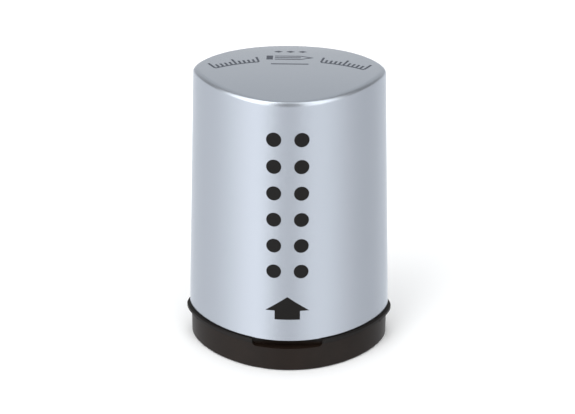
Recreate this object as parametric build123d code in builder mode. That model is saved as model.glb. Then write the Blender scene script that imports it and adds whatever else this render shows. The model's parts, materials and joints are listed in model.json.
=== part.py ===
"""Canister pencil sharpener: a wedge sharpener standing on an oval foot, under a pull-off oval cover.

Frame: origin at the bottom centre of the foot, +Z up, the front faces -Y, the long way of the oval is X.
Lengths are in millimetres.
"""
from build123d import *

import os
from math import atan, cos, sin

os.makedirs("parts", exist_ok=True)

# ---- driving dimensions ----------------------------------------------------------------------------

# Cover: an oval can, a little narrower at the top, with a top that is vaulted about the X axis.
COVER_HALF_WIDTH = 14.50        # at the rim
COVER_HALF_DEPTH = 11.18
COVER_TOP_SCALE = 0.9194        # size of the section under the top edge, against the rim
COVER_RIM_Z = 4.65
COVER_SHOULDER_Z = 41.05        # top edge at the front and back
COVER_CROWN_Z = 41.93           # ridge of the vault
COVER_WALL = 1.20
COVER_EDGE_RADIUS = 0.70
COVER_RIM_RADIUS = 0.15
COVER_CROWN_FORM = 0.60         # how far the oval stays broad along the front, of the half width
COVER_TIP_FORM = 0.26           # how far it stays upright at its ends, of the half depth

# Soft grip dots, in two columns on the front and on the back.
DOT_RADIUS = 1.03
DOT_ROWS = 6
DOT_COLUMN_X = 1.91
DOT_TOP_Z = 35.70
DOT_PITCH = 3.99
DOT_PROUD = 0.16
DOT_SEAT = 0.60
DOT_EDGE_RADIUS = 0.12

# Arrow inlay above the front rim.
ARROW_TIP_Z = 11.75
ARROW_WING_Z = 9.55
ARROW_FOOT_Z = 8.16
ARROW_HALF_WIDTH = 3.06
ARROW_SHAFT_HALF_WIDTH = 1.79
ARROW_PROUD = 0.04
ARROW_SEAT = 0.50

# Foot: a rounder oval, hollow underneath.
FOOT_HALF_WIDTH = 14.26
FOOT_HALF_DEPTH = 11.54
FOOT_CROWN_FORM = 0.58
FOOT_TIP_FORM = 0.37
FOOT_HEIGHT = 4.05
FOOT_WALL = 1.30
FOOT_FLOOR = 1.40
FOOT_EDGE_RADIUS = 0.25
FOOT_LIP_RADIUS = 0.12
HUB_RADIUS = 6.20
HUB_BOTTOM_Z = 0.60
FOOT_RIB_THICKNESS = 0.90
FOOT_RIB_BOTTOM_Z = 1.20

# Finger notch under the cover's front lip.
NOTCH_HALF_WIDTH = 5.00
NOTCH_BOTTOM_Z = 3.62
NOTCH_INNER_Y = -10.10
NOTCH_CORNER_RADIUS = 0.55
NOTCH_TOOL_HEIGHT = 2.00        # the notch is open upwards

# Gaps in the foot's top edge under the ears of the carrier plate.
EAR_GAP_X = 13.20
EAR_GAP_DEPTH = 0.45

# Carrier: plate, collar inside the cover, and socket around the sharpener.
PLATE_OVERHANG = 0.42           # beyond the cover's rim
PLATE_THICKNESS = 0.55
PLATE_EDGE_RADIUS = 0.15
COLLAR_TOP_Z = 8.90
COLLAR_WALL = 1.00
COLLAR_CLEARANCE = 0.15
RIB_RADIUS = 0.60
RIB_PROUD = 0.08
RIB_X = 5.60
RIB_Y = 8.30
SOCKET_WALL = 0.90
SOCKET_HEIGHT = 2.60
SOCKET_CLEARANCE = 0.10
SOCKET_REACH = 10.00            # from the back of the socket to its open front
PEG_X = 9.70
PEG_RADIUS = 1.00
PEG_BOTTOM_Z = 1.50
PEG_CLEARANCE = 0.08
PEG_BOSS_RADIUS = 2.00

# Pencil way, from below: foot, carrier, sharpener.
FOOT_HOLE_RADIUS = 4.60
FOOT_HOLE_CHAMFER = 0.80
PLATE_HOLE_RADIUS = 4.35
PENCIL_HOLE_RADIUS = 4.10       # takes a standard pencil up to 8.2 mm thick

# Wedge sharpener.
BODY_HALF_WIDTH = 7.75
BODY_BACK_Y = 5.40
BODY_LENGTH = 25.00
BODY_EDGE_RADIUS = 0.40
BORE_STRAIGHT = 4.60            # straight part of the bore, before the cone
CONE_LENGTH = 18.00
CONE_TIP_RADIUS = 0.60
BLADE_BITE = 0.25               # how far the blade's plane cuts into the cone
SCOOP_RADIUS = 5.00
SCOOP_X = -4.25
SCOOP_LIFT = 2.80
SCOOP_START = 5.40              # from the sharpener's bottom, along the slanted face
SIDE_HOLLOW_RADIUS = 30.00
SIDE_HOLLOW_DEPTH = 0.70
GROOVE_COUNT = 6
GROOVE_PITCH = 1.70
GROOVE_SIZE = 0.45

# Blade and screw.
BLADE_LENGTH = 24.00
BLADE_WIDTH = 7.75
BLADE_THICKNESS = 0.60
BLADE_EDGE_X = -0.10
BLADE_BEVEL = 1.50
BLADE_EDGE_LAND = 0.05
BLADE_HOLE_RADIUS = 1.50
BLADE_START = 0.70              # from the sharpener's bottom, along the slanted face
SCREW_X = 4.35
SCREW_HEAD_RADIUS = 2.60
SCREW_HEAD_HEIGHT = 1.20
SCREW_SHANK_RADIUS = 1.10
SCREW_SHANK_LENGTH = 4.60
SCREW_SLOT_WIDTH = 0.60
SCREW_SLOT_DEPTH = 0.60
SCREW_SLOT_ANGLE = 35.00
SCREW_CROWN_RADIUS = 0.50
THREAD_CLEARANCE = 0.05

# ---- derived sizes ---------------------------------------------------------------------------------

VAULT_HALF_DEPTH = COVER_HALF_DEPTH * COVER_TOP_SCALE
VAULT_RISE = COVER_CROWN_Z - COVER_SHOULDER_Z
VAULT_RADIUS = (VAULT_HALF_DEPTH**2 + VAULT_RISE**2) / (2 * VAULT_RISE)
PLATE_TOP_Z = FOOT_HEIGHT + PLATE_THICKNESS
COLLAR_INSET = COVER_WALL + COLLAR_CLEARANCE
BODY_BOTTOM_Z = PLATE_TOP_Z
BODY_TOP_Z = BODY_BOTTOM_Z + BODY_LENGTH
CONE_BOTTOM_Z = BODY_BOTTOM_Z + BORE_STRAIGHT
SLANT = (PENCIL_HOLE_RADIUS - CONE_TIP_RADIUS) / CONE_LENGTH
SLANT_ANGLE = atan(SLANT)
SEAT_BOTTOM_Y = BLADE_BITE - PENCIL_HOLE_RADIUS - SLANT * BORE_STRAIGHT
SEAT_TOP_Y = SEAT_BOTTOM_Y + SLANT * BODY_LENGTH
SCREW_ALONG = BLADE_START + BLADE_LENGTH / 2
FAR = 60.00                     # beyond the object, for cutting tools

# Plane of the slanted face: its local X is the object's X and its local Y climbs the slope.
SEAT_PLANE = Plane(
    origin=(0, SEAT_BOTTOM_Y, BODY_BOTTOM_Z),
    x_dir=(1, 0, 0),
    z_dir=(0, -cos(SLANT_ANGLE), sin(SLANT_ANGLE)),
)
SEAT_NORMAL = Axis(SEAT_PLANE.origin, SEAT_PLANE.z_dir)

# ---- shared shapes, each drawn inside the part block that calls it ---------------------------------


def oval(z, half_width, half_depth, crown_form, tip_form):
    """A level oval of four matching quadrants, each one curve from an end to the front or back."""
    with BuildSketch(Plane.XY.offset(z)) as section:
        with BuildLine():
            Bezier(
                (half_width, 0),
                (half_width, tip_form * half_depth),
                (crown_form * half_width, half_depth),
                (0, half_depth),
            )
            mirror(about=Plane.YZ)
            mirror(about=Plane.XZ)
        make_face()
    return section.sketch


def cover_section(z, grow):
    """The cover's outside section at height z, larger by grow all round."""
    climb = (z - COVER_RIM_Z) / (COVER_SHOULDER_Z - COVER_RIM_Z)
    scale = 1 - (1 - COVER_TOP_SCALE) * climb
    half_width = COVER_HALF_WIDTH * scale + grow
    half_depth = COVER_HALF_DEPTH * scale + grow
    return oval(z, half_width, half_depth, COVER_CROWN_FORM, COVER_TIP_FORM)


def cover_prism(bottom_z, top_z, grow, mode=Mode.ADD):
    """A solid between two heights that follows the cover's taper."""
    loft([cover_section(bottom_z, grow), cover_section(top_z, grow)], ruled=True, mode=mode)


def foot_prism(bottom_z, top_z, grow, mode=Mode.ADD):
    """An upright solid between two heights with the foot's outline."""
    half_width = FOOT_HALF_WIDTH + grow
    half_depth = FOOT_HALF_DEPTH + grow
    outline = oval(bottom_z, half_width, half_depth, FOOT_CROWN_FORM, FOOT_TIP_FORM)
    extrude(outline, amount=top_z - bottom_z, mode=mode)


def cut_above_vault(crown_z):
    """Remove what stands above a vault about the X axis."""
    with BuildSketch(Plane.YZ) as above:
        with Locations((0, crown_z)):
            Rectangle(FAR, FAR / 3)
        with Locations((0, crown_z - VAULT_RADIUS)):
            Circle(VAULT_RADIUS, mode=Mode.SUBTRACT)
    extrude(above.sketch, amount=FAR, both=True, mode=Mode.SUBTRACT)


def cut_finger_notch():
    """Open the finger notch at the front."""
    with BuildSketch(Plane.XZ.offset(-NOTCH_INNER_Y)) as opening:
        with Locations((0, NOTCH_BOTTOM_Z)):
            Rectangle(2 * NOTCH_HALF_WIDTH, NOTCH_TOOL_HEIGHT, align=(Align.CENTER, Align.MIN))
        fillet(vertices().group_by(Axis.Y)[0], radius=NOTCH_CORNER_RADIUS)
    extrude(opening.sketch, amount=FAR, mode=Mode.SUBTRACT)


def upright_hole(bottom_z, top_z, radius):
    """Cut a round hole on the Z axis between two heights."""
    with Locations((0, 0, bottom_z)):
        Cylinder(
            radius,
            top_z - bottom_z,
            align=(Align.CENTER, Align.CENTER, Align.MIN),
            mode=Mode.SUBTRACT,
        )


def finish(part, name):
    """Label one piece and write it."""
    part.label = name
    export_step(part, f"parts/{name}.step")


# ---- soft grip dots: two columns on the front, two on the back -------------------------------------

grip_dots = []
for face_name, facing in (("front", 1), ("rear", -1)):
    for column_name, column_x in (("left", -DOT_COLUMN_X), ("right", DOT_COLUMN_X)):
        for row in range(DOT_ROWS):
            with BuildPart() as grip_dot:
                with BuildSketch(Plane.XZ):
                    with Locations((column_x, DOT_TOP_Z - row * DOT_PITCH)):
                        Circle(DOT_RADIUS)
                extrude(amount=facing * FAR)
                cover_prism(COVER_RIM_Z, COVER_SHOULDER_Z, DOT_PROUD, Mode.INTERSECT)
                cover_prism(COVER_RIM_Z, COVER_SHOULDER_Z, -DOT_SEAT, Mode.SUBTRACT)
                outer_face = faces().sort_by(Axis.Y)[0 if facing == 1 else -1]
                fillet(outer_face.edges(), radius=DOT_EDGE_RADIUS)
            finish(grip_dot.part, f"grip_dot_{face_name}_{column_name}_{row + 1}")
            grip_dots.append(grip_dot.part)

# ---- arrow inlay -----------------------------------------------------------------------------------

with BuildPart() as release_arrow:
    with BuildSketch(Plane.XZ):
        with BuildLine():
            Polyline(
                (0, ARROW_TIP_Z),
                (ARROW_HALF_WIDTH, ARROW_WING_Z),
                (ARROW_SHAFT_HALF_WIDTH, ARROW_WING_Z),
                (ARROW_SHAFT_HALF_WIDTH, ARROW_FOOT_Z),
                (0, ARROW_FOOT_Z),
            )
            mirror(about=Plane.YZ)
        make_face()
    extrude(amount=FAR)
    cover_prism(COVER_RIM_Z, COVER_SHOULDER_Z, ARROW_PROUD, Mode.INTERSECT)
    cover_prism(COVER_RIM_Z, COVER_SHOULDER_Z, -ARROW_SEAT, Mode.SUBTRACT)
finish(release_arrow.part, "release_arrow")

# ---- cover -----------------------------------------------------------------------------------------

with BuildPart() as cover_cavity:
    cover_prism(COVER_RIM_Z, COVER_CROWN_Z, -COVER_WALL)
    cut_above_vault(COVER_CROWN_Z - COVER_WALL)

with BuildPart() as cover_shell:
    cover_prism(COVER_RIM_Z, COVER_CROWN_Z + COVER_WALL, 0)
    cut_above_vault(COVER_CROWN_Z)
    fillet(faces().sort_by(Axis.Z)[-1].edges(), radius=COVER_EDGE_RADIUS)
    fillet(faces().sort_by(Axis.Z)[0].edges(), radius=COVER_RIM_RADIUS)
    add(cover_cavity.part, mode=Mode.SUBTRACT)
    add(grip_dots, mode=Mode.SUBTRACT)
    add(release_arrow.part, mode=Mode.SUBTRACT)
finish(cover_shell.part, "cover_shell")

# ---- foot ------------------------------------------------------------------------------------------

with BuildPart() as base_plinth:
    foot_prism(0, FOOT_HEIGHT, 0)
    fillet(faces().sort_by(Axis.Z)[0].edges(), radius=FOOT_EDGE_RADIUS)
    fillet(faces().sort_by(Axis.Z)[-1].edges(), radius=FOOT_LIP_RADIUS)
    foot_prism(0, FOOT_HEIGHT - FOOT_FLOOR, -FOOT_WALL, Mode.SUBTRACT)
    with BuildSketch(Plane.XY.offset(HUB_BOTTOM_Z)):
        Circle(HUB_RADIUS)
    extrude(amount=FOOT_HEIGHT - FOOT_FLOOR - HUB_BOTTOM_Z)
    with BuildSketch(Plane.XY.offset(FOOT_RIB_BOTTOM_Z)):
        Rectangle(2 * (FOOT_HALF_WIDTH - FOOT_WALL), FOOT_RIB_THICKNESS)
        Rectangle(FOOT_RIB_THICKNESS, 2 * (FOOT_HALF_DEPTH - FOOT_WALL))
    extrude(amount=FOOT_HEIGHT - FOOT_FLOOR - FOOT_RIB_BOTTOM_Z)
    with Locations((-PEG_X, 0, FOOT_RIB_BOTTOM_Z), (PEG_X, 0, FOOT_RIB_BOTTOM_Z)):
        Cylinder(
            PEG_BOSS_RADIUS,
            FOOT_HEIGHT - FOOT_FLOOR - FOOT_RIB_BOTTOM_Z,
            align=(Align.CENTER, Align.CENTER, Align.MIN),
        )
        Cylinder(
            PEG_RADIUS + PEG_CLEARANCE,
            FOOT_HEIGHT - FOOT_RIB_BOTTOM_Z,
            align=(Align.CENTER, Align.CENTER, Align.MIN),
            mode=Mode.SUBTRACT,
        )
    upright_hole(0, FOOT_HEIGHT, FOOT_HOLE_RADIUS)
    hole_mouth = edges().filter_by(GeomType.CIRCLE).group_by(Axis.Z)[0].sort_by(SortBy.RADIUS)[0]
    chamfer(hole_mouth, length=FOOT_HOLE_CHAMFER)
    cut_finger_notch()
    with Locations((-FAR / 2 - EAR_GAP_X, 0, FOOT_HEIGHT), (FAR / 2 + EAR_GAP_X, 0, FOOT_HEIGHT)):
        Box(FAR, FAR, 2 * EAR_GAP_DEPTH, mode=Mode.SUBTRACT)
finish(base_plinth.part, "base_plinth")

# ---- carrier: plate, collar, sharpener socket and pegs ---------------------------------------------

with BuildPart() as friction_ribs:
    for x, y in ((RIB_X, RIB_Y), (-RIB_X, RIB_Y), (-RIB_X, -RIB_Y), (RIB_X, -RIB_Y)):
        with Locations((x, y, PLATE_TOP_Z)):
            Cylinder(
                RIB_RADIUS,
                COLLAR_TOP_Z - PLATE_TOP_Z,
                align=(Align.CENTER, Align.CENTER, Align.MIN),
            )
    cover_prism(PLATE_TOP_Z, COLLAR_TOP_Z, RIB_PROUD - COLLAR_INSET, Mode.INTERSECT)

with BuildPart() as sharpener_socket:
    with BuildSketch(Plane.XY.offset(PLATE_TOP_Z)):
        with Locations((0, BODY_BACK_Y + SOCKET_CLEARANCE + SOCKET_WALL)):
            Rectangle(
                2 * (BODY_HALF_WIDTH + SOCKET_CLEARANCE + SOCKET_WALL),
                SOCKET_REACH,
                align=(Align.CENTER, Align.MAX),
            )
        with Locations((0, BODY_BACK_Y + SOCKET_CLEARANCE)):
            Rectangle(
                2 * (BODY_HALF_WIDTH + SOCKET_CLEARANCE),
                SOCKET_REACH,
                align=(Align.CENTER, Align.MAX),
                mode=Mode.SUBTRACT,
            )
    extrude(amount=SOCKET_HEIGHT)
    cover_prism(PLATE_TOP_Z, COLLAR_TOP_Z, -COLLAR_INSET - COLLAR_WALL / 2, Mode.INTERSECT)

with BuildPart() as carrier:
    plate_outline = oval(
        FOOT_HEIGHT,
        COVER_HALF_WIDTH + PLATE_OVERHANG,
        COVER_HALF_DEPTH + PLATE_OVERHANG,
        COVER_CROWN_FORM,
        COVER_TIP_FORM,
    )
    extrude(plate_outline, amount=PLATE_THICKNESS)
    fillet(faces().sort_by(Axis.Z)[-1].edges(), radius=PLATE_EDGE_RADIUS)
    cover_prism(PLATE_TOP_Z, COLLAR_TOP_Z, -COLLAR_INSET)
    cover_prism(PLATE_TOP_Z, COLLAR_TOP_Z, -COLLAR_INSET - COLLAR_WALL, Mode.SUBTRACT)
    add(friction_ribs.part)
    add(sharpener_socket.part)
    with Locations((-PEG_X, 0, FOOT_HEIGHT), (PEG_X, 0, FOOT_HEIGHT)):
        Cylinder(PEG_RADIUS, FOOT_HEIGHT - PEG_BOTTOM_Z, align=(Align.CENTER, Align.CENTER, Align.MAX))
    upright_hole(FOOT_HEIGHT, PLATE_TOP_Z, PLATE_HOLE_RADIUS)
    cut_finger_notch()
finish(carrier.part, "carrier")

# ---- wedge sharpener -------------------------------------------------------------------------------

with BuildPart() as sharpener_body:
    with BuildSketch(Plane.YZ):
        with BuildLine():
            Polyline(
                (SEAT_BOTTOM_Y, BODY_BOTTOM_Z),
                (BODY_BACK_Y, BODY_BOTTOM_Z),
                (BODY_BACK_Y, BODY_TOP_Z),
                (SEAT_TOP_Y, BODY_TOP_Z),
                close=True,
            )
        make_face()
    extrude(amount=BODY_HALF_WIDTH, both=True)
    fillet(edges().filter_by(Axis.X), radius=BODY_EDGE_RADIUS)
    with Locations(
        (-BODY_HALF_WIDTH - SIDE_HOLLOW_RADIUS + SIDE_HOLLOW_DEPTH, 0, BODY_BOTTOM_Z + BODY_LENGTH / 2),
        (BODY_HALF_WIDTH + SIDE_HOLLOW_RADIUS - SIDE_HOLLOW_DEPTH, 0, BODY_BOTTOM_Z + BODY_LENGTH / 2),
    ):
        Cylinder(SIDE_HOLLOW_RADIUS, FAR, rotation=(90, 0, 0), mode=Mode.SUBTRACT)
    with BuildSketch(Plane.XZ):
        with Locations((0, BODY_BOTTOM_Z + BODY_LENGTH / 2)):
            with GridLocations(2 * (BODY_HALF_WIDTH - SIDE_HOLLOW_DEPTH), GROOVE_PITCH, 2, GROOVE_COUNT):
                Rectangle(GROOVE_SIZE, GROOVE_SIZE, rotation=45)
    extrude(amount=FAR, both=True, mode=Mode.SUBTRACT)
    upright_hole(BODY_BOTTOM_Z, CONE_BOTTOM_Z, PENCIL_HOLE_RADIUS)
    with Locations((0, 0, CONE_BOTTOM_Z)):
        Cone(
            PENCIL_HOLE_RADIUS,
            CONE_TIP_RADIUS,
            CONE_LENGTH,
            align=(Align.CENTER, Align.CENTER, Align.MIN),
            mode=Mode.SUBTRACT,
        )
    with BuildSketch(SEAT_PLANE):
        with Locations((SCREW_X, SCREW_ALONG)):
            Circle(SCREW_SHANK_RADIUS + THREAD_CLEARANCE)
    extrude(amount=-SCREW_SHANK_LENGTH, mode=Mode.SUBTRACT)
    with BuildSketch(Plane(SEAT_PLANE.location * Location((SCOOP_X, SCOOP_START, SCOOP_LIFT), (-90, 0, 0)))):
        Circle(SCOOP_RADIUS)
    extrude(amount=FAR, mode=Mode.SUBTRACT)
finish(sharpener_body.part, "sharpener_body")

# ---- blade and screw -------------------------------------------------------------------------------

with BuildPart() as blade:
    with BuildSketch(SEAT_PLANE):
        with Locations((BLADE_EDGE_X, BLADE_START)):
            Rectangle(BLADE_WIDTH, BLADE_LENGTH, align=(Align.MIN, Align.MIN))
        with Locations((SCREW_X, SCREW_ALONG)):
            Circle(BLADE_HOLE_RADIUS, mode=Mode.SUBTRACT)
    extrude(amount=BLADE_THICKNESS)
    outer_face = faces().sort_by(SEAT_NORMAL)[-1]
    cutting_side = outer_face.edges().sort_by(Axis.X)[0]
    chamfer(cutting_side, length=BLADE_THICKNESS - BLADE_EDGE_LAND, length2=BLADE_BEVEL)
finish(blade.part, "blade")

with BuildPart() as blade_screw:
    with BuildSketch(SEAT_PLANE.offset(BLADE_THICKNESS)):
        with Locations((SCREW_X, SCREW_ALONG)):
            Circle(SCREW_HEAD_RADIUS)
    extrude(amount=SCREW_HEAD_HEIGHT)
    fillet(edges().sort_by(SEAT_NORMAL)[-1], radius=SCREW_CROWN_RADIUS)
    with BuildSketch(SEAT_PLANE.offset(BLADE_THICKNESS)):
        with Locations((SCREW_X, SCREW_ALONG)):
            Circle(SCREW_SHANK_RADIUS)
    extrude(amount=-SCREW_SHANK_LENGTH)
    with BuildSketch(SEAT_PLANE.offset(BLADE_THICKNESS + SCREW_HEAD_HEIGHT)):
        with Locations((SCREW_X, SCREW_ALONG)):
            Rectangle(FAR, SCREW_SLOT_WIDTH, rotation=SCREW_SLOT_ANGLE)
    extrude(amount=-SCREW_SLOT_DEPTH, mode=Mode.SUBTRACT)
finish(blade_screw.part, "blade_screw")
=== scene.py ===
"""Looks of the canister pencil sharpener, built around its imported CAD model. Lengths are in metres."""
import json
import math

import bmesh
import bpy
from mathutils import Euler, Matrix, Vector


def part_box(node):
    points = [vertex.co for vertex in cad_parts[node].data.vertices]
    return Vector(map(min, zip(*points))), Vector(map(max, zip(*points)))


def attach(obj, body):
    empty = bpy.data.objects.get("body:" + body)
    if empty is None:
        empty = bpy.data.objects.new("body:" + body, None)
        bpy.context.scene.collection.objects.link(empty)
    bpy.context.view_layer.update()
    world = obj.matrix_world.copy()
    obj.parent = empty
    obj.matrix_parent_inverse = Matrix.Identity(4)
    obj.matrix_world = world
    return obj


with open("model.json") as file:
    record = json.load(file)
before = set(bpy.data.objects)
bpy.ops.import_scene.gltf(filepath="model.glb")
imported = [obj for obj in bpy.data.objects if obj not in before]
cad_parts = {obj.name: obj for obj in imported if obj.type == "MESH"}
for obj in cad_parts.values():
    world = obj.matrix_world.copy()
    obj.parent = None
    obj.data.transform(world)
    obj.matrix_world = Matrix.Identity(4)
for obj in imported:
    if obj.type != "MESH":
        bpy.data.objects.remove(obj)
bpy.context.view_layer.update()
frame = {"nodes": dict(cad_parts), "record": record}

MM = 0.001

# ---- the cover's form, from the frame --------------------------------------------------------------

COVER_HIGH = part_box("cover_shell")[1]
CROWN_Z = COVER_HIGH.z
TOP_SCALE = 0.9194                         # section under the top edge, against the rim, as in the CAD
VAULT_RISE = 0.88 * MM                     # from the top edge up to the ridge, as in the CAD
TOP_HALF_DEPTH = COVER_HIGH.y * TOP_SCALE
VAULT_RADIUS = (TOP_HALF_DEPTH**2 + VAULT_RISE**2) / (2 * VAULT_RISE)


def vault_z(y):
    """Height of the cover's top above a point at depth y."""
    return CROWN_Z - VAULT_RADIUS + math.sqrt(VAULT_RADIUS**2 - y * y)


# ---- node helpers ----------------------------------------------------------------------------------

NOISE_ROUGHNESS = 0.55                     # how strong the finer octaves of a noise are
RAMP_START = 0.3                           # noise values at which a ramp leaves its low end
RAMP_END = 0.7                             # and reaches its high end
MIX_FIRST = 6                              # a Mix node's sockets for colours
MIX_SECOND = 7
MIX_RESULT = 2


class Nodes:
    """A material's or world's node tree, with short calls that add and join nodes."""

    def __init__(self, tree):
        self.tree = tree

    def add(self, kind):
        return self.tree.nodes.new(kind)

    def join(self, source, target):
        self.tree.links.new(source, target)

    def math(self, operation, first, second):
        """The result of a sum on two values, each a socket or a number."""
        node = self.add("ShaderNodeMath")
        node.operation = operation
        for socket, value in zip(node.inputs, (first, second)):
            if isinstance(value, (int, float)):
                socket.default_value = value
            else:
                self.join(value, socket)
        return node.outputs[0]


def new_material(name, **shader_values):
    """A material with one Principled shader, and constants set on the shader's own sockets."""
    material = bpy.data.materials.new(name)
    material.use_nodes = True
    nodes = Nodes(material.node_tree)
    shader = material.node_tree.nodes["Principled BSDF"]
    for key, value in shader_values.items():
        shader.inputs[key.replace("_", " ")].default_value = value
    return material, nodes, shader


def object_space(nodes, stretch=(1, 1, 1)):
    """Coordinates in metres on the object, scaled along each axis."""
    place = nodes.add("ShaderNodeTexCoord")
    mapping = nodes.add("ShaderNodeMapping")
    mapping.inputs["Scale"].default_value = stretch
    nodes.join(place.outputs["Object"], mapping.inputs["Vector"])
    return mapping.outputs["Vector"]


def noise(nodes, vector, size, detail):
    """Fractal noise whose largest features are about size across, with finer ones in detail octaves."""
    node = nodes.add("ShaderNodeTexNoise")
    node.inputs["Scale"].default_value = 1 / size
    node.inputs["Detail"].default_value = detail
    node.inputs["Roughness"].default_value = NOISE_ROUGHNESS
    nodes.join(vector, node.inputs["Vector"])
    return node.outputs["Fac"]


def ramp(nodes, factor, low, high):
    """A colour, or a grey given as one number, that runs from low to high with a noise."""
    node = nodes.add("ShaderNodeValToRGB")
    for element, place, value in zip(node.color_ramp.elements, (RAMP_START, RAMP_END), (low, high)):
        colour = value if isinstance(value, tuple) else (value, value, value)
        element.position = place
        element.color = (*colour, 1)
    nodes.join(factor, node.inputs["Fac"])
    return node.outputs["Color"]


def bump(nodes, shader, height, depth):
    """Relief on the surface, depth metres from low to high."""
    node = nodes.add("ShaderNodeBump")
    node.inputs["Distance"].default_value = depth
    nodes.join(height, node.inputs["Height"])
    nodes.join(node.outputs["Normal"], shader.inputs["Normal"])


# ---- materials: each has its sizes of grain, its depth of relief, and its ranges of colour and roughness

FLAKE_SIZE = 0.10 * MM                     # the cover's lacquer
FLAKE_COLOURS = ((0.650, 0.695, 0.765), (0.710, 0.752, 0.822))
LACQUER_CLOUD_SIZE = 6.0 * MM
LACQUER_ROUGHNESS = (0.17, 0.21)
PEEL_SIZE = 0.50 * MM
PEEL_DEPTH = 0.0006 * MM

MOULD_CLOUD_SIZE = 3.0 * MM                # the black plastics
MOULD_GRAIN_SIZE = 0.10 * MM
MOULD_GRAIN_DEPTH = 0.002 * MM
FOOT_COLOURS = ((0.0110, 0.0062, 0.0038), (0.0155, 0.0090, 0.0058))
CARRIER_COLOURS = ((0.0070, 0.0055, 0.0045), (0.0105, 0.0080, 0.0070))
INLAY_COLOURS = ((0.0040, 0.0032, 0.0025), (0.0070, 0.0055, 0.0045))
FOOT_ROUGHNESS = (0.34, 0.46)              # and the carrier's
INLAY_ROUGHNESS = (0.45, 0.58)

RUBBER_GRAIN_SIZE = 0.12 * MM              # the grip dots
RUBBER_GRAIN_DEPTH = 0.004 * MM
RUBBER_COLOURS = ((0.0045, 0.0038, 0.0035), (0.0095, 0.0085, 0.0080))
RUBBER_ROUGHNESS = (0.55, 0.75)

CAST_GRAIN_SIZE = 0.18 * MM                # the sharpener's body
CAST_GRAIN_DEPTH = 0.003 * MM
CAST_COLOURS = ((0.50, 0.50, 0.51), (0.60, 0.60, 0.60))
DRAWING_SIZE = 0.15 * MM
DRAWING_STRETCH = (1, 1, 0.06)             # the marks run upwards
CAST_ROUGHNESS = (0.30, 0.46)

GRINDING_SIZE = 0.08 * MM                  # the blade and the screw
GRINDING_DEPTH = 0.0015 * MM
GRINDING_SHADE = 0.86                      # a line's dark side, against its light side
BLADE_COLOUR = (0.60, 0.61, 0.63)
BLADE_STRETCH = (0.04, 1, 1)               # the lines run across the blade
BLADE_ROUGHNESS = (0.16, 0.30)
SCREW_COLOUR = (0.62, 0.60, 0.56)
SCREW_STRETCH = (1, 1, 1)
SCREW_ROUGHNESS = (0.18, 0.28)

INK_GRAIN_SIZE = 0.25 * MM                 # the printed mark
INK_COLOURS = ((0.045, 0.052, 0.068), (0.070, 0.078, 0.098))
INK_ROUGHNESS = (0.40, 0.55)


def silver_lacquer():
    """Satin metallic lacquer on plastic: fine flakes and a faint orange peel."""
    material, nodes, shader = new_material("silver_lacquer", Metallic=0.92, IOR=1.5)
    vector = object_space(nodes)
    flakes = noise(nodes, vector, FLAKE_SIZE, detail=2.0)
    nodes.join(ramp(nodes, flakes, *FLAKE_COLOURS), shader.inputs["Base Color"])
    clouds = noise(nodes, vector, LACQUER_CLOUD_SIZE, detail=3.0)
    nodes.join(ramp(nodes, clouds, *LACQUER_ROUGHNESS), shader.inputs["Roughness"])
    peel = noise(nodes, vector, PEEL_SIZE, detail=2.0)
    bump(nodes, shader, peel, PEEL_DEPTH)
    return material


def moulded_black(name, colours, roughness):
    """Moulded black plastic with a fine spark-eroded grain."""
    material, nodes, shader = new_material(name, IOR=1.5, Specular_IOR_Level=0.27)
    vector = object_space(nodes)
    clouds = noise(nodes, vector, MOULD_CLOUD_SIZE, detail=4.0)
    nodes.join(ramp(nodes, clouds, *colours), shader.inputs["Base Color"])
    grain = noise(nodes, vector, MOULD_GRAIN_SIZE, detail=3.0)
    nodes.join(ramp(nodes, grain, *roughness), shader.inputs["Roughness"])
    bump(nodes, shader, grain, MOULD_GRAIN_DEPTH)
    return material


def soft_touch():
    """Matt soft-touch rubber of the grip dots."""
    material, nodes, shader = new_material(
        "soft_touch", IOR=1.45, Specular_IOR_Level=0.3, Sheen_Weight=0.05, Sheen_Roughness=0.5
    )
    grain = noise(nodes, object_space(nodes), RUBBER_GRAIN_SIZE, detail=3.0)
    nodes.join(ramp(nodes, grain, *RUBBER_COLOURS), shader.inputs["Base Color"])
    nodes.join(ramp(nodes, grain, *RUBBER_ROUGHNESS), shader.inputs["Roughness"])
    bump(nodes, shader, grain, RUBBER_GRAIN_DEPTH)
    return material


def cast_metal():
    """Fine satin die-cast light alloy, with faint vertical drawing marks."""
    material, nodes, shader = new_material("cast_metal", Metallic=1.0)
    grain = noise(nodes, object_space(nodes), CAST_GRAIN_SIZE, detail=4.0)
    nodes.join(ramp(nodes, grain, *CAST_COLOURS), shader.inputs["Base Color"])
    marks = noise(nodes, object_space(nodes, DRAWING_STRETCH), DRAWING_SIZE, detail=3.0)
    nodes.join(ramp(nodes, marks, *CAST_ROUGHNESS), shader.inputs["Roughness"])
    bump(nodes, shader, grain, CAST_GRAIN_DEPTH)
    return material


def ground_steel(name, colour, stretch, roughness):
    """Steel with a fine ground finish, drawn out along the axis where stretch is small."""
    material, nodes, shader = new_material(name, Metallic=1.0)
    lines = noise(nodes, object_space(nodes, stretch), GRINDING_SIZE, detail=4.0)
    darker = tuple(GRINDING_SHADE * c for c in colour)
    nodes.join(ramp(nodes, lines, darker, colour), shader.inputs["Base Color"])
    nodes.join(ramp(nodes, lines, *roughness), shader.inputs["Roughness"])
    bump(nodes, shader, lines, GRINDING_DEPTH)
    return material


def printing_ink():
    """Dark slate pad-printing ink, slightly uneven."""
    material, nodes, shader = new_material("printing_ink", IOR=1.45)
    grain = noise(nodes, object_space(nodes), INK_GRAIN_SIZE, detail=3.0)
    nodes.join(ramp(nodes, grain, *INK_COLOURS), shader.inputs["Base Color"])
    nodes.join(ramp(nodes, grain, *INK_ROUGHNESS), shader.inputs["Roughness"])
    return material


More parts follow.
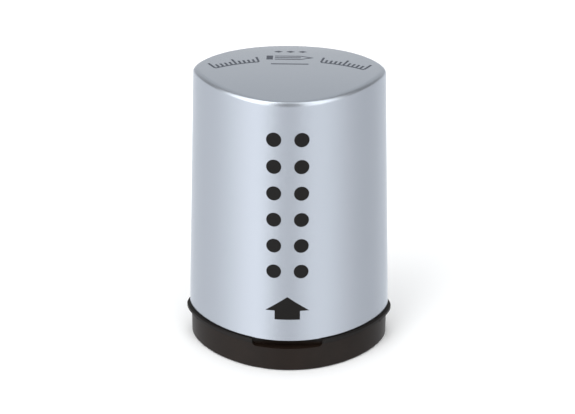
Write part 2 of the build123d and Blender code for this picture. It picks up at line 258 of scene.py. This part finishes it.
def paint_frame():
    """Give every CAD node the material of its slot."""
    by_slot = {
        "silver_lacquer": silver_lacquer(),
        "foot_plastic": moulded_black("foot_plastic", FOOT_COLOURS, FOOT_ROUGHNESS),
        "carrier_plastic": moulded_black("carrier_plastic", CARRIER_COLOURS, FOOT_ROUGHNESS),
        "soft_dots": soft_touch(),
        "arrow_inlay": moulded_black("arrow_inlay", INLAY_COLOURS, INLAY_ROUGHNESS),
        "sharpener_metal": cast_metal(),
        "blade_steel": ground_steel("blade_steel", BLADE_COLOUR, BLADE_STRETCH, BLADE_ROUGHNESS),
        "screw_steel": ground_steel("screw_steel", SCREW_COLOUR, SCREW_STRETCH, SCREW_ROUGHNESS),
    }
    for subpart in frame["record"]["subparts"]:
        node = frame["nodes"][subpart["node"]]
        node.material_slots[0].material = by_slot[subpart["material_slot"]]


# ---- printed mark on the top: a curved ruler scale with a pencil in its middle ----------------------

PRINT_LIFT = 0.010 * MM                    # above the lacquer
PRINT_ROOT = 0.020 * MM                    # below it, so that the edge is closed
SCALE_RADIUS = 19.0 * MM
SCALE_Y = 2.30 * MM                        # at the middle
SCALE_START = 4.30 * MM                    # along the arc, each way from the middle
TICK_PITCH = 0.64 * MM
TICK_COUNT = 11                            # on each side
TICK_GROUP = 5                             # from one long tick to the next
TICK_WIDTH = 0.30 * MM
TICK_LONG = 2.10 * MM
TICK_SHORT = 1.25 * MM
RULE_WIDTH = 0.26 * MM
PENCIL_LENGTH = 6.60 * MM
PENCIL_HALF = 0.80 * MM                    # half its thickness
PENCIL_Y = 3.75 * MM
PENCIL_LINE = 0.26 * MM
PENCIL_CAP = 0.90 * MM
PENCIL_POINT = 1.80 * MM
PENCIL_LEAD = 0.60 * MM
LOZENGE_COUNT = 3
LOZENGE_Y = 6.45 * MM
LOZENGE_PITCH = 1.70 * MM
LOZENGE_HALF_WIDTH = 0.62 * MM
LOZENGE_HALF_DEPTH = 0.42 * MM
UNDERLINE_Y = 1.10 * MM
UNDERLINE_HALF = 2.60 * MM
UNDERLINE_WIDTH = 0.30 * MM


def stamp(mesh, outline):
    """Add one thin closed patch of ink that follows the vault, from a list of (x, y) points."""
    upper = [mesh.verts.new((x, y, vault_z(y) + PRINT_LIFT)) for x, y in outline]
    lower = [mesh.verts.new((x, y, vault_z(y) - PRINT_ROOT)) for x, y in outline]
    mesh.faces.new(upper)
    mesh.faces.new(list(reversed(lower)))
    for i in range(len(outline)):
        j = (i + 1) % len(outline)
        mesh.faces.new((lower[i], lower[j], upper[j], upper[i]))


def on_scale(along, outward):
    """Point of the scale at a length along its arc from the middle, and outward of it."""
    angle = along / SCALE_RADIUS
    radius = SCALE_RADIUS + outward
    return radius * math.sin(angle), SCALE_Y - SCALE_RADIUS + radius * math.cos(angle)


def scale_patch(mesh, start, end, inner, outer):
    """A patch between two lengths along the scale's arc and two distances outward of it."""
    stamp(mesh, [on_scale(start, inner), on_scale(end, inner), on_scale(end, outer), on_scale(start, outer)])


def box_patch(mesh, x_low, x_high, y_low, y_high):
    """A patch with sides along X and Y."""
    stamp(mesh, [(x_low, y_low), (x_high, y_low), (x_high, y_high), (x_low, y_high)])


def draw_scale(mesh):
    """Ticks outward of a rule, on each side of the middle."""
    for side in (-1, 1):
        for i in range(TICK_COUNT):
            place = side * (SCALE_START + i * TICK_PITCH)
            tall = TICK_LONG if i % TICK_GROUP == 0 else TICK_SHORT
            scale_patch(mesh, place - TICK_WIDTH / 2, place + TICK_WIDTH / 2, RULE_WIDTH, tall)
        for i in range(TICK_COUNT - 1):
            place = side * (SCALE_START + (i + 0.5) * TICK_PITCH)
            scale_patch(mesh, place - TICK_PITCH / 2, place + TICK_PITCH / 2, 0, RULE_WIDTH)


def draw_pencil(mesh):
    """A pencil that points right: a solid cap and lead, and an outlined body with one facet line."""
    tail = -PENCIL_LENGTH / 2
    tip = PENCIL_LENGTH / 2
    shoulder = tip - PENCIL_POINT
    body = tail + PENCIL_CAP
    lead = tip - PENCIL_LEAD
    lead_half = PENCIL_HALF * PENCIL_LEAD / PENCIL_POINT
    box_patch(mesh, tail, body, PENCIL_Y - PENCIL_HALF, PENCIL_Y + PENCIL_HALF)
    box_patch(mesh, body + PENCIL_LINE, shoulder, PENCIL_Y - PENCIL_LINE / 2, PENCIL_Y + PENCIL_LINE / 2)
    for side in (-1, 1):
        outer = PENCIL_Y + side * PENCIL_HALF
        inner = outer - side * PENCIL_LINE
        box_patch(mesh, body + PENCIL_LINE, shoulder, min(inner, outer), max(inner, outer))
        edge = PENCIL_Y + side * lead_half
        stamp(mesh, [(shoulder, outer), (lead, edge), (lead, edge - side * PENCIL_LINE), (shoulder, inner)])
    stamp(mesh, [(lead, PENCIL_Y - lead_half), (tip, PENCIL_Y), (lead, PENCIL_Y + lead_half)])


def draw_ornament(mesh):
    """A row of lozenges behind the pencil, and a line in front of it."""
    for i in range(LOZENGE_COUNT):
        x = (i - (LOZENGE_COUNT - 1) / 2) * LOZENGE_PITCH
        left = (x - LOZENGE_HALF_WIDTH, LOZENGE_Y)
        front = (x, LOZENGE_Y - LOZENGE_HALF_DEPTH)
        right = (x + LOZENGE_HALF_WIDTH, LOZENGE_Y)
        rear = (x, LOZENGE_Y + LOZENGE_HALF_DEPTH)
        stamp(mesh, [left, front, right, rear])
    box_patch(mesh, -UNDERLINE_HALF, UNDERLINE_HALF, UNDERLINE_Y, UNDERLINE_Y + UNDERLINE_WIDTH)


def printed_mark():
    """The generic mark on the cover's top, as thin ink in one mesh."""
    mesh = bmesh.new()
    draw_scale(mesh)
    draw_pencil(mesh)
    draw_ornament(mesh)
    bmesh.ops.recalc_face_normals(mesh, faces=mesh.faces)
    data = bpy.data.meshes.new("printed_mark")
    mesh.to_mesh(data)
    mesh.free()
    data.materials.append(printing_ink())
    mark = bpy.data.objects.new("printed_mark", data)
    bpy.context.scene.collection.objects.link(mark)
    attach(mark, "cover")


# ---- studio ----------------------------------------------------------------------------------------

CAMERA_DISTANCE = 245.2 * MM               # level distance from the sharpener's axis
CAMERA_HEIGHT = 145.7 * MM
CAMERA_PITCH = math.radians(27.085)
CAMERA_TURN = math.radians(1.24)           # round to the right of the front
CAMERA_SIDESTEP = 0.24 * MM                # to its own left
CAMERA_ROLL = math.radians(0.14)
CAMERA_LENS = 120.55                       # in millimetres, as is the sensor
CAMERA_SENSOR = 36.0
CAMERA_CLIP = 10 * MM
FLOOR_SIZE = 6.0
FLOOR_GAP = 0.02 * MM                      # so that the foot and the floor never share a plane
FLOOR_CLOUD_SIZE = 80 * MM
FLOOR_TONES = (0.95, 0.97)


def make_camera():
    """The camera at the photograph's angle."""
    data = bpy.data.cameras.new("camera")
    data.lens = CAMERA_LENS
    data.sensor_width = CAMERA_SENSOR
    data.clip_start = CAMERA_CLIP
    camera = bpy.data.objects.new("camera", data)
    right = Vector((math.cos(CAMERA_TURN), math.sin(CAMERA_TURN), 0))
    back = Vector((math.sin(CAMERA_TURN), -math.cos(CAMERA_TURN), 0))
    camera.location = back * CAMERA_DISTANCE - right * CAMERA_SIDESTEP + Vector((0, 0, CAMERA_HEIGHT))
    aim = Euler((math.pi / 2 - CAMERA_PITCH, 0, CAMERA_TURN)).to_matrix()
    camera.rotation_euler = (aim @ Matrix.Rotation(CAMERA_ROLL, 3, "Z")).to_euler()
    bpy.context.scene.collection.objects.link(camera)
    bpy.context.scene.camera = camera


def make_floor():
    """A plain pale floor, which doesn't show in polished surfaces: they reflect the studio's lower walls."""
    half = FLOOR_SIZE / 2
    corners = [(x, y, -FLOOR_GAP) for x, y in ((-half, -half), (half, -half), (half, half), (-half, half))]
    data = bpy.data.meshes.new("floor")
    data.from_pydata(corners, [], [(0, 1, 2, 3)])
    material, nodes, shader = new_material("floor", Roughness=0.9)
    clouds = noise(nodes, object_space(nodes), FLOOR_CLOUD_SIZE, detail=2.0)
    nodes.join(ramp(nodes, clouds, *FLOOR_TONES), shader.inputs["Base Color"])
    data.materials.append(material)
    floor = bpy.data.objects.new("floor", data)
    floor.visible_glossy = False
    bpy.context.scene.collection.objects.link(floor)


# The studio round the sharpener, as (degrees round from the front, brightness). Its lower walls show in
# the upright sides: a large softbox to the front left, a weaker one to the front right, a bright backdrop.
LOWER_WALLS = (
    (-180, 0.93),
    (-150, 0.86),
    (-120, 0.63),
    (-92, 0.64),
    (-70, 0.82),
    (-46, 1.06),
    (-30, 1.00),
    (-14, 0.68),
    (2, 0.57),
    (14, 0.69),
    (33, 0.88),
    (55, 0.79),
    (75, 0.60),
    (97, 0.50),
    (120, 0.62),
    (150, 0.84),
    (180, 0.95),
)
# Its upper walls show in the rounded top edge: windows to the front left and front right, dark sides.
UPPER_WALLS = (
    (-180, 0.55),
    (-130, 0.46),
    (-104, 0.18),
    (-82, 0.24),
    (-70, 1.20),
    (-48, 2.05),
    (-30, 1.90),
    (-17, 0.50),
    (-8, 0.26),
    (12, 0.26),
    (22, 1.20),
    (38, 1.65),
    (54, 1.20),
    (68, 0.22),
    (100, 0.16),
    (130, 0.46),
    (180, 0.55),
)
STUDIO_STRENGTH = 3.0                      # a colour ramp holds no value above 1
LOWER_TINT = (0.970, 0.990, 1.020)
UPPER_TINT = (0.985, 1.000, 1.010)
CEILING = (0.39, 0.405, 0.415)
WALL_CHANGE = (-0.25, 0.20)                # height, as a sine, over which lower walls give way to upper
CEILING_CHANGE = (0.30, 0.95)              # and over which the upper walls do to the ceiling
CEILING_DEPTH = (0.00, 0.35)               # the ceiling comes in towards the back, clear of the windows
SOFTBOXES = (                              # name, place, side and watts
    ("overhead", (0, 0, 0.9), 1.2, 7.0),
    ("front_left", (-0.5, -0.7, 0.6), 0.6, 1.5),
)


def around(nodes, turn, stops, tint):
    """Soft colour round the horizon from a list of angles and brightnesses."""
    walls = nodes.add("ShaderNodeValToRGB")
    walls.color_ramp.interpolation = "B_SPLINE"
    elements = walls.color_ramp.elements
    elements.remove(elements[-1])
    for i, (degrees, level) in enumerate(stops):
        position = degrees / 360 + 0.5
        element = elements[0] if i == 0 else elements.new(position)
        element.position = position
        element.color = (*(level * c / STUDIO_STRENGTH for c in tint), 1)
    nodes.join(turn, walls.inputs["Fac"])
    return walls.outputs["Color"]


def rise(nodes, value, limits):
    """0 below the first limit and 1 above the second, with a smooth change between."""
    node = nodes.add("ShaderNodeMapRange")
    node.interpolation_type = "SMOOTHSTEP"
    node.inputs["From Min"].default_value, node.inputs["From Max"].default_value = limits
    nodes.join(value, node.inputs["Value"])
    return node.outputs["Result"]


def blend(nodes, factor, first, second):
    """The first colour where factor is 0, and the second, a socket or a colour, where it is 1."""
    mix = nodes.add("ShaderNodeMix")
    mix.data_type = "RGBA"
    nodes.join(factor, mix.inputs["Factor"])
    nodes.join(first, mix.inputs[MIX_FIRST])
    if isinstance(second, tuple):
        mix.inputs[MIX_SECOND].default_value = (*second, 1)
    else:
        nodes.join(second, mix.inputs[MIX_SECOND])
    return mix.outputs[MIX_RESULT]


def make_world():
    """A soft studio whose walls vary round the sharpener, under a plain ceiling."""
    world = bpy.data.worlds.new("studio")
    bpy.context.scene.world = world
    world.use_nodes = True
    nodes = Nodes(world.node_tree)
    place = nodes.add("ShaderNodeTexCoord")
    split = nodes.add("ShaderNodeSeparateXYZ")
    nodes.join(place.outputs["Generated"], split.inputs[0])
    x, y, z = split.outputs
    angle = nodes.math("ARCTAN2", x, nodes.math("MULTIPLY", y, -1.0))
    turn = nodes.math("ADD", nodes.math("DIVIDE", angle, 2 * math.pi), 0.5)
    lower = around(nodes, turn, LOWER_WALLS, LOWER_TINT)
    upper = around(nodes, turn, UPPER_WALLS, UPPER_TINT)
    walls = blend(nodes, rise(nodes, z, WALL_CHANGE), lower, upper)
    overhead = nodes.math("MULTIPLY", rise(nodes, z, CEILING_CHANGE), rise(nodes, y, CEILING_DEPTH))
    studio = blend(nodes, overhead, walls, tuple(c / STUDIO_STRENGTH for c in CEILING))
    background = world.node_tree.nodes["Background"]
    nodes.join(studio, background.inputs["Color"])
    background.inputs["Strength"].default_value = STUDIO_STRENGTH


def make_softbox(name, place, side, watts):
    """A square light aimed at the middle of the sharpener, which doesn't show in polished surfaces."""
    data = bpy.data.lights.new(name, "AREA")
    data.shape = "SQUARE"
    data.size = side
    data.energy = watts
    light = bpy.data.objects.new(name, data)
    light.location = place
    aim = Vector((0, 0, CROWN_Z / 2)) - Vector(place)
    light.rotation_euler = aim.to_track_quat("-Z", "Y").to_euler()
    light.visible_glossy = False
    bpy.context.scene.collection.objects.link(light)


make_camera()
make_floor()
make_world()
for softbox in SOFTBOXES:
    make_softbox(*softbox)
paint_frame()
printed_mark()
bpy.context.scene.view_settings.view_transform = "Standard"
